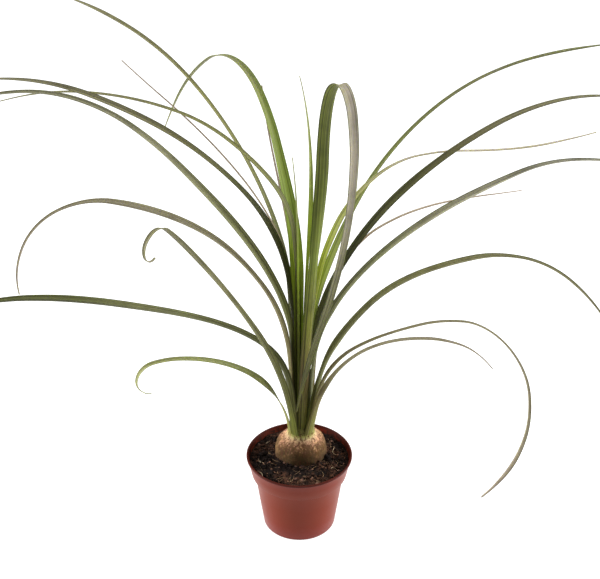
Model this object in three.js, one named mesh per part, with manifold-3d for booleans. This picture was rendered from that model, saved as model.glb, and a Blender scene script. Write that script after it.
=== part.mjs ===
// A young ponytail palm in a nursery pot. Millimetres, +Z up.
// The origin is the middle of the pot's underside; the viewer stands on the -Y side.
import * as THREE from 'three';
import { mergeVertices } from 'three/addons/utils/BufferGeometryUtils.js';
import Module from 'manifold-3d';

// Pot
const POT_HEIGHT = 93;
const RIM_RADIUS = 60;
const RIM_LIP = 2.4;
const RIM_ROUNDING = 0.5;
const COLLAR_TOP_RADIUS = 59;
const COLLAR_FOOT_RADIUS = 54.2;
const COLLAR_HEIGHT = 23.5;
const BODY_TOP_RADIUS = 50.8;
const BASE_RADIUS = 41;
const BASE_EDGE = 1.6;
const WALL = 1.3;
const FLOOR = 1.8;
const DRAIN_HOLES = 8;
const DRAIN_HOLE_RADIUS = 3.5;
const DRAIN_HOLE_SIDES = 16;
const DRAIN_RING_RADIUS = 29;
const POT_SIDES = 64;

// Plant: its axis stands a little behind the middle of the pot
const AXIS_X = 2;
const AXIS_Y = 12;
const SEAT_GAP = 0.3;

// Caudex: a squat bulb, then a short stem on which the leaf bases stand
const CAUDEX_RADIUS = 30;
const CAUDEX_MIDDLE = 86;
const CAUDEX_BOTTOM = 42;
const NECK_RADIUS = 15.4;
const NECK_HEIGHT = 117.5;
const STEM_TIP_HEIGHT = 132;
const STEM_TIP_RADIUS = 1.2;
const CAUDEX_END = 1.2;
const ROOT_END_POWER = 2.4;
const SHOULDER_DRAW_IN = 0.72;
const NECK_START = 0.55;
const TWO_SIDED_BUMP = 0.6;
const THREE_SIDED_BUMP = 0.4;
const BUMP_TWIST = 0.11;
const BUMP_FADE_START = 16;
const BUMP_FADE_END = 4;
const BURIED_RINGS = 9;
const BULB_RINGS = 9;
const PLANT_SIDES = 48;

// Soil
const SOIL_LEVEL = 86.5;
const SOIL_TOP = 89;
const SOIL_LUMP = 1.6;
const SOIL_COARSE_WAVE = 0.22;
const SOIL_FINE_WAVE = 0.7;
const SOIL_MOUND_START = 0.6;
const SOIL_RINGS = 8;

// Leaves: each base clasps the stem, and opens into a shallow channel over a stretch that starts further up
// the more rings lie outside it
const LEAF_THICKNESS = 0.8;
const LEAF_CHANNEL = 0.16;
const CHANNEL_POWER = 1.5;
const OPEN_SLOPE = 0.45;
const LEAF_STEPS = 2;
const LEAF_SIDES = [-1, -0.5, 0, 0.5, 1];
const CLASP_END = [40, 100];
const CLASP_END_STEP = 20;
const WIDEST_CLASP = 75;
const OUTER_RING_RADIUS = 14.6;
const RING_STEP = 1.45;

// One row for each leaf. heading: the way it leans, in degrees from +X towards +Y, which is also the side
// of the stem that it clasps. ring: 0 is the outermost row of leaf bases. step: between two stations of the
// midrib. width: of the blade. roll: turn of the free blade about its midrib. lean: of the midrib from
// upright at each station, past 90 where it hangs. Lists spread over the length.
const LEAVES = [
  // Low left, short and curled at the tip
  {
    heading: 201, ring: 0, step: 27,
    width: [11, 12, 9.5, 7, 6.2, 5.8, 5.4, 5, 2.5],
    roll: [-60, -60, -42, -28, -20, -18],
    lean: [5, 17, 28, 39, 52, 62, 71, 80, 96, 170, 262],
  },
  // Left front, with a hooked tip
  {
    heading: 243, ring: 0, step: 31,
    width: [8.4, 8, 8.5, 9.2, 9, 8.5, 8.3, 8.3, 8, 6, 2],
    roll: [0, 8],
    lean: [13, 16, 20, 25, 28, 32, 34, 36, 37, 38, 39, 40, 41, 42, 46, 125, 290],
  },
  // Left front, broad, running out level
  {
    heading: 222, ring: 1, step: 50,
    width: [15, 12.5, 11.5, 11.5, 11, 10.5, 10, 9.5, 8.5, 6, 2],
    roll: [0, 20, 40, 50, 56, 60, 62],
    lean: [0, 5, 28, 45, 53, 58, 61, 62, 65, 70, 80, 85],
  },
  // Left, arched over and hanging to a thin curl
  {
    heading: 205, ring: 2, step: 50,
    width: [16, 12, 9.8, 9.8, 8.7, 9.6, 9.7, 8.5, 5, 3.8, 1.5],
    roll: [0, 8, 18, 28, 37, 44, 52, 58, 62, 60, 60],
    lean: [1, 1, 5, 18, 31, 39, 51, 61, 70, 105, 152, 187],
  },
  // Left, long arches one above the other
  {
    heading: 190, ring: 3, step: 60,
    width: [17, 14, 12.5, 12, 12, 11, 10, 9.5, 8.5, 5, 2],
    roll: [0, 20, 34, 42, 48, 52, 52, 52, 52, 55, 55],
    lean: [0, 0, 4, 22, 31, 37, 40, 49, 68, 92, 106],
  },
  {
    heading: 175, ring: 4, step: 60,
    width: [17, 16, 14, 11.5, 10.5, 9.5, 9, 8.5, 8, 6, 2],
    roll: [-10, -10, -12, -27, -24, -8, -6, -14, -16, -12, -12],
    lean: [0, 0, 1, 6, 24, 42, 52, 63, 70, 85, 98],
  },
  {
    heading: 158, ring: 6, step: 60,
    width: [11, 13, 13, 11, 9, 7.5, 7, 7, 6, 4, 2],
    lean: [0, 0, 0, 0, 7, 44, 59, 79, 88, 96, 106, 112],
  },
  // Back left, the broad young leaf that folds over
  {
    heading: 124, ring: 5, step: 55,
    width: [11, 12, 13.8, 16.2, 14, 10.5, 9.5, 8, 6, 4, 1.5],
    lean: [0, 0, 0, 2, 7, 20, 24, 45, 88, 122, 132, 142, 146],
  },
  // Back left, the tallest
  {
    heading: 135, ring: 1, step: 60,
    width: [16, 13, 11, 9, 7.8, 6.9, 6.5, 6.5, 6.3, 6, 2.5],
    roll: [0, 12, 16, 10, 0, 0],
    lean: [1, 1, 1, 7, 26, 39, 50, 60, 71, 80, 85, 90],
  },
  // Back left, thin
  {
    heading: 144, ring: 2, step: 62,
    width: [5, 3, 2.5, 2.2, 1.5],
    lean: [0, 0, 0, 5, 36, 51, 59, 64, 61],
  },
  {
    heading: 105, ring: 3, step: 57,
    width: [6, 3.2, 2.6, 2.2, 1.5],
    lean: [0, 1, 5, 20, 39, 50, 45, 25],
  },
  // Low right, short
  {
    heading: 311, ring: 0, step: 40,
    width: [14, 10, 7.5, 5, 4.8, 5, 5, 5, 4.5, 3, 1.5],
    roll: [-30, -35, -40, -40, -40, -45, -50, -55, -60, -60, -60],
    lean: [13, 16, 27, 37, 45, 53, 60, 67, 80, 120],
  },
  // Right front, hanging far down
  {
    heading: 319, ring: 1, step: 51,
    width: [14, 9, 6.4, 5.2, 4.4, 4.5, 4.3, 4.6, 4.6, 5, 2],
    roll: [-20, -30, -30, -40, -45, -50, -60, -70, -70, -60, -50],
    lean: [10, 13, 31, 47, 54, 58, 72, 122, 168, 190, 205, 214],
  },
  // Right front, arched over
  {
    heading: 325, ring: 2, step: 50,
    width: [15, 14, 12, 10, 8.7, 9, 8, 7.6, 5.6, 5.6, 2.5],
    roll: [-15, -20, -30, -35, -40, -45, -55, -60, -60, -60, -60],
    lean: [9, 10, 20, 31, 37, 48, 57, 63, 84, 118, 140],
  },
  // Right, long arches
  {
    heading: 343, ring: 3, step: 60,
    width: [14, 14, 11, 10.5, 9.3, 9.2, 9, 8.5, 6.5, 4.5, 2.5],
    roll: [-15, -25, -35, -42, -48, -52, -58, -60, -60, -60, -60],
    lean: [2, 3, 14, 30, 40, 47, 54, 58, 82, 100],
  },
  {
    heading: 22, ring: 5, step: 60,
    width: [12, 12.8, 12.4, 13, 12.5, 12, 10, 9.2, 8.3, 7, 2.5],
    roll: [0, 5],
    lean: [0, 4, 12, 28, 40, 52, 61, 69, 82, 95, 105],
  },
  // Back right, thin and dry
  {
    heading: 50, ring: 0, step: 66,
    width: [5, 3.5, 3, 3, 3, 2.5, 1.5],
    roll: [0, 25],
    lean: [8, 6, 15, 57, 89, 98, 103, 105, 106, 105],
  },
  // Back right, long and young
  {
    heading: 34, ring: 6, step: 60,
    width: [10, 10.5, 12, 12.5, 9, 7, 6, 5.5, 5.5, 5, 2],
    roll: [0, 0, 0, 0, -5, -5, -4, -3, 3, 15, 20],
    lean: [0, 3, 10, 22, 29, 42, 56, 69, 81, 89, 93, 95],
  },
  {
    heading: 27, ring: 7, step: 60,
    width: [9, 10, 11, 12, 10, 6, 4, 4, 4, 3.5, 1.5],
    roll: [0, 0, 0, 0, 0, 0, 0, 15, 12, 10, 10],
    lean: [0, 3, 8, 12, 27, 56, 90, 101, 97, 90, 87],
  },
  // Front, tall, folded over towards the viewer and hanging back down to the crown
  {
    heading: [300, 314, 318, 274, 284, 290, 298, 305, 308], ring: 4, step: 42.2,
    width: [18, 18.3, 16.4, 14.4, 12.3, 11.2, 9.2, 7.6, 7.3, 6.8, 1.5],
    roll: [0, 0, 0, 0, 0, 0, 0, 5, 20, 30, 30],
    lean: [3, 3, 4, 4, 5, 5, 6, 9, 13, 21, 36, 72, 159, 183, 191, 196, 199, 201, 202, 200, 197, 192],
  },
  // Upright in the middle of the crown
  {
    heading: [60, 10, 5, 30, 80, 120, 140], ring: 8, step: 57,
    width: [6, 6, 6, 6, 5.6, 4.4, 2.6, 0.8],
    lean: [0, 1, 2, 3, 4, 6, 9, 19],
  },
  {
    heading: 215, ring: 7, step: 65,
    width: [6, 5, 4, 1],
    lean: [0, 0, 0, 0, 2, 7],
  },
];

const COLOURS = {
  pot: { color: 0x8a3b2b, roughness: 0.45, metalness: 0 },
  soil: { color: 0x2b1d17, roughness: 0.95, metalness: 0 },
  caudex: { color: 0xb98a66, roughness: 0.85, metalness: 0 },
  leaf: { color: 0x4f6128, roughness: 0.5, metalness: 0 },
};

const wasm = await Module();
wasm.setup();

const radians = THREE.MathUtils.degToRad;
const mix = THREE.MathUtils.lerp;
const smooth = THREE.MathUtils.smoothstep;

const plant = new THREE.Group();

function addMesh(name, geometry, finish) {
  const mesh = new THREE.Mesh(geometry, new THREE.MeshStandardMaterial(finish));
  mesh.name = name;
  plant.add(mesh);
}

function toSolid(geometry) {
  const bare = geometry.clone();
  bare.deleteAttribute('normal');
  bare.deleteAttribute('uv');
  const merged = mergeVertices(bare);
  const vertProperties = Float32Array.from(merged.attributes.position.array);
  const triVerts = Uint32Array.from(merged.index.array);
  return new wasm.Manifold(new wasm.Mesh({ numProp: 3, vertProperties, triVerts }));
}

function toGeometry(solid) {
  const mesh = solid.getMesh();
  const geometry = new THREE.BufferGeometry();
  geometry.setAttribute('position', new THREE.BufferAttribute(mesh.vertProperties, 3));
  geometry.setIndex(new THREE.BufferAttribute(mesh.triVerts, 1));
  return geometry;
}

// A closed skin over a stack of rings, each a list of points that turns anticlockwise seen from the last
// ring's side. cap lists the triangles of an end by their places in the ring. From the column back on, the
// four-sided faces are split the other way, which makes the two sides of a thin blade alike.
function skin(rings, cap, back = rings[0].length) {
  const count = rings[0].length;
  const index = [];
  for (let row = 0; row + 1 < rings.length; row += 1) {
    for (let i = 0; i < count; i += 1) {
      const here = row * count + i;
      const next = row * count + (i + 1) % count;
      if (i < back) {
        index.push(here, next, next + count, here, next + count, here + count);
      } else {
        index.push(here, next, here + count, next, next + count, here + count);
      }
    }
  }
  const top = (rings.length - 1) * count;
  cap.forEach(([a, b, c]) => index.push(a, c, b, top + a, top + b, top + c));
  const geometry = new THREE.BufferGeometry().setFromPoints(rings.flat());
  geometry.setIndex(index);
  return geometry;
}

function fan(count) {
  return Array.from({ length: count - 2 }, (_, i) => [0, i + 1, i + 2]);
}

// Radius of the pot's outside at a height
function potOutside(z) {
  const collarFoot = POT_HEIGHT - COLLAR_HEIGHT;
  if (z < collarFoot) {
    return mix(BASE_RADIUS, BODY_TOP_RADIUS, z / collarFoot);
  }
  return mix(COLLAR_FOOT_RADIUS, COLLAR_TOP_RADIUS, (z - collarFoot) / COLLAR_HEIGHT);
}

function buildPot() {
  const collarFoot = POT_HEIGHT - COLLAR_HEIGHT;
  const lipFoot = POT_HEIGHT - RIM_LIP;
  const outline = [
    [0, 0],
    [BASE_RADIUS - BASE_EDGE, 0],
    [BASE_RADIUS - BASE_EDGE / 3, BASE_EDGE / 3],
    [potOutside(BASE_EDGE), BASE_EDGE],
    [BODY_TOP_RADIUS, collarFoot],
    [COLLAR_FOOT_RADIUS, collarFoot],
    [potOutside(lipFoot), lipFoot],
    [RIM_RADIUS, lipFoot + RIM_ROUNDING],
    [RIM_RADIUS, POT_HEIGHT - RIM_ROUNDING],
    [RIM_RADIUS - RIM_ROUNDING, POT_HEIGHT],
    [COLLAR_TOP_RADIUS - WALL, POT_HEIGHT],
    [COLLAR_FOOT_RADIUS - WALL, collarFoot + WALL],
    [BODY_TOP_RADIUS - WALL, collarFoot + WALL],
    [potOutside(FLOOR) - WALL, FLOOR],
    [0, FLOOR],
  ];
  const lathe = new THREE.LatheGeometry(outline.map(([r, z]) => new THREE.Vector2(r, z)), POT_SIDES);
  lathe.rotateX(Math.PI / 2);
  let solid = toSolid(lathe);
  for (let i = 0; i < DRAIN_HOLES; i += 1) {
    const turn = (i * 2 * Math.PI) / DRAIN_HOLES;
    const drill = new THREE.CylinderGeometry(
      DRAIN_HOLE_RADIUS,
      DRAIN_HOLE_RADIUS,
      FLOOR * 3,
      DRAIN_HOLE_SIDES,
    );
    drill.rotateX(Math.PI / 2);
    drill.translate(DRAIN_RING_RADIUS * Math.cos(turn), DRAIN_RING_RADIUS * Math.sin(turn), FLOOR / 2);
    solid = solid.subtract(toSolid(drill));
  }
  addMesh('pot', toGeometry(solid), COLOURS.pot);
}

// Radius of the caudex at a height: a tapered root end, the bulb, and a shoulder that draws in to the neck
function caudexRadius(z) {
  if (z < CAUDEX_MIDDLE) {
    const depth = (CAUDEX_MIDDLE - z) / (CAUDEX_MIDDLE - CAUDEX_BOTTOM);
    return CAUDEX_RADIUS * Math.sqrt(1 - depth ** ROOT_END_POWER);
  }
  const rise = (z - CAUDEX_MIDDLE) / (NECK_HEIGHT - CAUDEX_MIDDLE);
  const bulb = CAUDEX_RADIUS * Math.sqrt(1 - SHOULDER_DRAW_IN * rise ** 2);
  return mix(bulb, NECK_RADIUS, smooth(rise, NECK_START, 1));
}

// Unevenness of the bulb, so that it isn't a turned shape: two soft sides and three, the three turning with
// height. It fades out below the neck.
function caudexBump(angle, z) {
  const fade = 1 - smooth(z, NECK_HEIGHT - BUMP_FADE_START, NECK_HEIGHT - BUMP_FADE_END);
  const two = TWO_SIDED_BUMP * Math.sin(2 * angle);
  const three = THREE_SIDED_BUMP * Math.sin(3 * angle + z * BUMP_TWIST);
  return fade * (two + three);
}

function caudexRing(z, clearance) {
  const ring = [];
  for (let i = 0; i < PLANT_SIDES; i += 1) {
    const angle = (i * 2 * Math.PI) / PLANT_SIDES;
    const radius = caudexRadius(z) + caudexBump(angle, z) + clearance;
    ring.push(new THREE.Vector3(AXIS_X + radius * Math.cos(angle), AXIS_Y + radius * Math.sin(angle), z));
  }
  return ring;
}

// Evenly spaced heights from one to another, both included
function heights(from, to, count) {
  return Array.from({ length: count }, (_, i) => mix(from, to, i / (count - 1)));
}

// Height of the conical stem top at a distance from the plant's axis
function stemHeight(radius) {
  return mix(STEM_TIP_HEIGHT, NECK_HEIGHT, radius / NECK_RADIUS);
}

function buildCaudex() {
  const levels = heights(CAUDEX_BOTTOM + CAUDEX_END, SOIL_TOP, BURIED_RINGS);
  levels.push(...heights(SOIL_TOP, NECK_HEIGHT, BULB_RINGS + 1).slice(1));
  const rings = levels.map((z) => caudexRing(z, 0));
  const tip = rings[rings.length - 1].map(({ x, y }) => new THREE.Vector3(
    mix(AXIS_X, x, STEM_TIP_RADIUS / NECK_RADIUS),
    mix(AXIS_Y, y, STEM_TIP_RADIUS / NECK_RADIUS),
    stemHeight(STEM_TIP_RADIUS),
  ));
  addMesh('caudex', skin([...rings, tip], fan(PLANT_SIDES)), COLOURS.caudex);
}

// Two crossed sets of waves make the soil's lumps
function soilHeight(x, y) {
  const coarse = Math.sin((x + y) * SOIL_COARSE_WAVE) * Math.cos((x - y / 2) * SOIL_COARSE_WAVE);
  const fine = Math.sin((x + y / 2) * SOIL_FINE_WAVE) * Math.cos((x / 2 - y) * SOIL_FINE_WAVE);
  return SOIL_LEVEL + (SOIL_LUMP * (coarse + fine)) / 2;
}

function potRing(radius, z) {
  const ring = [];
  for (let i = 0; i < PLANT_SIDES; i += 1) {
    const angle = (i * 2 * Math.PI) / PLANT_SIDES;
    ring.push(new THREE.Vector3(radius * Math.cos(angle), radius * Math.sin(angle), z));
  }
  return ring;
}

// The soil fills the pot, steps out where the collar does, and has a pocket in the shape of the caudex
function buildSoil() {
  const inset = WALL + SEAT_GAP;
  const floor = FLOOR + SEAT_GAP;
  const step = POT_HEIGHT - COLLAR_HEIGHT + inset;
  const rings = [
    potRing(potOutside(floor) - inset, floor),
    potRing(BODY_TOP_RADIUS - inset, step),
    potRing(COLLAR_FOOT_RADIUS - inset, step),
  ];
  const edge = potRing(potOutside(SOIL_LEVEL - SOIL_LUMP) - inset, SOIL_LEVEL);
  const pocketMouth = caudexRing(SOIL_TOP, SEAT_GAP);
  for (let row = 0; row < SOIL_RINGS; row += 1) {
    const share = row / SOIL_RINGS;
    rings.push(edge.map((outer, i) => {
      const { x, y } = new THREE.Vector3().lerpVectors(outer, pocketMouth[i], share);
      const mound = smooth(share, SOIL_MOUND_START, 1);
      return new THREE.Vector3(x, y, mix(soilHeight(x, y), SOIL_TOP, mound));
    }));
  }
  const pocket = heights(SOIL_TOP, CAUDEX_BOTTOM + CAUDEX_END, BURIED_RINGS);
  rings.push(...pocket.map((z) => caudexRing(z, SEAT_GAP)));
  rings.push(caudexRing(CAUDEX_BOTTOM + CAUDEX_END, SEAT_GAP).map(({ x, y, z }) => (
    new THREE.Vector3(x, y, z - SEAT_GAP))));
  addMesh('soil', skin(rings, fan(PLANT_SIDES)), COLOURS.soil);
}

// Value of a list of stations at a place between them
function along(stations, place) {
  const i = Math.min(Math.floor(place), stations.length - 2);
  return mix(stations[i], stations[i + 1], place - i);
}

// Value at a share of a leaf's length: a single value holds all along, a list is spread over the length
function spread(values, share) {
  return Array.isArray(values) ? along(values, share * (values.length - 1)) : values;
}

// Half the angle of its ring that a leaf's base of some width clasps
function claspAngle(width, radius) {
  return Math.min(width / 2 / radius, radians(WIDEST_CLASP));
}

// Rings of points round a blade: its upper face, which is the hollow one, then its lower face
function leafRings({ heading, ring, width, roll = 0, step, lean }) {
  const radius = OUTER_RING_RADIUS - ring * RING_STEP;
  const baseAngle = radians(spread(heading, 0));
  const baseClasp = claspAngle(spread(width, 0), radius);
  const inside = radius * Math.cos(baseClasp / (LEAF_SIDES.length - 1)) - LEAF_THICKNESS / 2;
  const point = new THREE.Vector3(
    AXIS_X + radius * Math.cos(baseAngle),
    AXIS_Y + radius * Math.sin(baseAngle),
    stemHeight(inside) + SEAT_GAP,
  );
  const count = (lean.length - 1) * LEAF_STEPS;
  const rings = [];
  for (let i = 0; i <= count; i += 1) {
    const share = i / count;
    const turn = radians(spread(heading, share));
    const tilt = radians(spread(lean, share));
    const open = smooth((i / LEAF_STEPS) * step - ring * CLASP_END_STEP, ...CLASP_END);
    const outward = new THREE.Vector3(Math.cos(turn), Math.sin(turn), 0);
    const tangent = outward.clone().multiplyScalar(Math.sin(tilt)).setZ(Math.cos(tilt));
    const upper = outward.clone().multiplyScalar(-Math.cos(tilt)).setZ(Math.sin(tilt));
    upper.applyAxisAngle(tangent, open * radians(spread(roll, share)));
    const across = tangent.clone().cross(upper);
    const blade = spread(width, share);
    const clasp = claspAngle(blade, radius);
    const corner = (side, face) => {
      const angle = side * clasp;
      const place = mix(radius * Math.sin(angle), (side * blade) / 2, open);
      const clasped = radius * (1 - Math.cos(angle));
      const depth = mix(clasped, Math.abs(side) ** CHANNEL_POWER * blade * LEAF_CHANNEL, open);
      const slope = mix(angle, side * OPEN_SLOPE, open);
      return point.clone()
        .addScaledVector(across, place - (Math.sin(slope) * face * LEAF_THICKNESS) / 2)
        .addScaledVector(upper, depth + (Math.cos(slope) * face * LEAF_THICKNESS) / 2);
    };
    rings.push([
      ...LEAF_SIDES.map((side) => corner(side, 1)),
      ...LEAF_SIDES.map((side) => corner(-side, -1)),
    ]);
    const middle = Math.min(i + 0.5, count) / count;
    const midTurn = radians(spread(heading, middle));
    const midTilt = radians(spread(lean, middle));
    point.add(new THREE.Vector3(
      Math.sin(midTilt) * Math.cos(midTurn),
      Math.sin(midTilt) * Math.sin(midTurn),
      Math.cos(midTilt),
    ).multiplyScalar(step / LEAF_STEPS));
  }
  return rings;
}

function buildLeaves() {
  const sides = LEAF_SIDES.length;
  const cap = [];
  for (let i = 0; i + 1 < sides; i += 1) {
    const under = 2 * sides - 1 - i;
    cap.push([i, i + 1, under - 1], [i, under - 1, under]);
  }
  LEAVES.forEach((leaf, i) => {
    const name = `leaf_${String(i + 1).padStart(2, '0')}`;
    addMesh(name, skin(leafRings(leaf), cap, sides), COLOURS.leaf);
  });
}

buildPot();
buildSoil();
buildCaudex();
buildLeaves();

export default plant;
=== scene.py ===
"""A young ponytail palm in its nursery pot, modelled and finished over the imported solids."""

import math
import random

import bpy
from mathutils import Matrix, Vector


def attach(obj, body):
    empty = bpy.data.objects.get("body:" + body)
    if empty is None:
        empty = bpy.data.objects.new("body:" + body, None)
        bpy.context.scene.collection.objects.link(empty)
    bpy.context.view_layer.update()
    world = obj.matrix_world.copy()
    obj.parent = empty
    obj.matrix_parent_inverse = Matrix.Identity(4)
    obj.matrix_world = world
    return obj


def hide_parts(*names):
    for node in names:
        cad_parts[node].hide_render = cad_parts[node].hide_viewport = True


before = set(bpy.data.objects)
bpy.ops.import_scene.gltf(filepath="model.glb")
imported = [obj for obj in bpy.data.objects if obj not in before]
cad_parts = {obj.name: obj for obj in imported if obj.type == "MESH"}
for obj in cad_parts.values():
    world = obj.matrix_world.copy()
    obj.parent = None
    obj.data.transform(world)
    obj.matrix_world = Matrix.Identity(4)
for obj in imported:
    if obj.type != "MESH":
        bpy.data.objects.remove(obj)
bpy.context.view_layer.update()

MM = 0.001
BODY = "root"

# Camera, fitted to the pot's rim, foot and sides: place in metres, look down in degrees, lens and sensor in
# millimetres
CAMERA_PLACE = (0.0008, -1.0931, 0.9249)
CAMERA_DROP = 29.5
CAMERA_LENS = 72.0
SENSOR_WIDTH = 36.0

# Studio, in metres and watts
LIGHTS = [
    dict(name="light_left", place=(-2.4, 0.3, 1.0), size=1.6, power=130),
    dict(name="light_right", place=(2.4, 0.3, 1.0), size=1.6, power=130),
    dict(name="light_top", place=(0, 0.2, 2.6), size=2.0, power=36),
]
LIGHT_AIM = (0, 0, 0.25)
AIR_STRENGTH = 0.24
FLOOR_RADIUS = 9
FLOOR_SIDES = 96
FLOOR_GLOW = 0.9

# Pot, in millimetres
POT_HEIGHT = 93
RIM_RADIUS = 60
RIM_LIP = 2.4
COLLAR_TOP_RADIUS = 59
COLLAR_FOOT_RADIUS = 54.2
COLLAR_HEIGHT = 23.5
BODY_TOP_RADIUS = 50.8
BASE_RADIUS = 41
BASE_EDGE = 1.6
WALL = 1.3
FLOOR = 1.8
CHAMFER = 0.5
SIDE_RINGS = (20, 45)
COLLAR_RING_DROP = 10
EDGE_ROUNDING = 0.35
ROUNDING_STEPS = 3
DRAIN_HOLES = 8
DRAIN_HOLE_RADIUS = 3.5
DRAIN_HOLE_SIDES = 32
DRAIN_RING_RADIUS = 29
POT_SIDES = 160

# Plant, in millimetres
AXIS_X = 2
AXIS_Y = 12
SEAT_GAP = 0.3
CAUDEX_RADIUS = 30
CAUDEX_MIDDLE = 86
CAUDEX_BOTTOM = 42
NECK_RADIUS = 15.4
NECK_HEIGHT = 117.5
STEM_TIP_HEIGHT = 132
STEM_TIP_RADIUS = 1.2
CAUDEX_END = 1.2
ROOT_END_POWER = 2.4
SHOULDER_DRAW_IN = 0.72
NECK_START = 0.55
CAUDEX_SIDES = 144
BURIED_DEPTH = 4
BURIED_RINGS = 14
BULB_RINGS = 44
STEM_RINGS = 8
TWO_SIDED_BULGE = 0.6
THREE_SIDED_BULGE = 0.4
BULGE_TWIST = 0.11
BULGE_FADE = 10
SWELLINGS = dict(size=20, height=2.2, depth=2)
BARK_RELIEF = dict(size=3.5, height=0.9, depth=3)

# Soil, in millimetres
SOIL_LEVEL = 86.5
SOIL_TOP = 89
SOIL_WAVE_HEIGHT = 0.9
SOIL_WAVE_PACE = 0.22
SOIL_SIDES = 240
SOIL_RINGS = 46
SOIL_MIDDLE_SHARE = 0.34
SURFACE_SLACK = 0.1
MOUND_DROP = 0.8
MOUND_INSIDE = 2
MOUND_OUTSIDE = 10
WALL_MARGIN = 2
WALL_CALM_ZONE = (0.5, 4)
WALL_CALM = 0.25
CLODS = dict(size=7, height=4.2, depth=2)
CRUMBLE = dict(size=1.8, height=2.0, depth=3)

# Loose bits on the soil, in millimetres. Room to the wall, lift above the soil and spreads are shares of the
# size, and the tilt is in radians.
CRUMBS = dict(count=560, sizes=(1.6, 6.4), flatness=(0.5, 0.95), wall_gap=0.8, lift=0.12, seed=11)
CHIPS = dict(count=130, sizes=(1.2, 4.8), flatness=(0.25, 0.6), wall_gap=0.8, lift=0.2, seed=12)
ROOTS = dict(count=110, sizes=(5, 15), flatness=(0.6, 1.0), wall_gap=0.9, lift=0.06, seed=13)
BIT_SIZE_SPREAD = (0.6, 1.0)
BIT_LENGTH_SPREAD = (0.8, 1.5)
BIT_WIDTH_SPREAD = (0.7, 1.1)
LUMP_SPREAD = (0.62, 1.18)
BIT_TILT = 0.35
BULB_LAP = 0.5
PROBE_HEIGHT = 120

# Roots: short ones in units of their own length, long ones in millimetres
ROOT_SIDES = 5
ROOT_LENGTHS = 7
ROOT_THICKNESS = 0.03
ROOT_REACH = 1.6
ROOT_BOW = 1.4
ROOT_SIDE_WAVE = 0.05
ROOT_RISE_WAVE = 0.06
RISE_WAVE_PACE = 1.3
LONG_ROOT_SIDES = 8
LONG_ROOT_LENGTHS = 40
LONG_ROOT_THICKNESS = 0.6
LONG_ROOT_REACH = 0.02
LONG_ROOTS = [  # x, y and height above the soil
    [(-47, -2, 0.8), (-44, -7, 1.5), (-41, -9, 1.2), (-38, -16, 0.6)],
    [(-46, -25, 0.6), (-42, -30, 1.4), (-41, -36, 0.8)],
    [(36, 22, 0.8), (40, 17, 1.6), (38, 10, 1.2), (42, 4, 0.7)],
    [(33, -22, 0.6), (38, -19, 1.2), (43, -22, 0.7)],
    [(-31, 34, 0.6), (-36, 29, 1.2), (-42, 26, 0.6)],
]

# Leaves, in millimetres and degrees
LEAF_THICKNESS = 0.8
MARGIN_THINNING = 0.7
MARGIN_POWER = 4
LEAF_CHANNEL = 0.16
CHANNEL_POWER = 1.5
CLASP_END = (40, 100)
CLASP_END_STEP = 20
WIDEST_CLASP = 75
OUTER_RING_RADIUS = 14.6
RING_STEP = 1.45
WAVER = 4
WAVER_PACE = 9
NARROWEST_BLADE = 0.4
LEAF_ROWS = 12
LEAF_COLUMNS = 10

# Edges sharper than this many degrees are rounded, or shaded as creases
ROUNDED_FROM = 28
POT_CREASE = 30
BIT_CREASE = 40
LEAF_CREASE = 50

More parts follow.
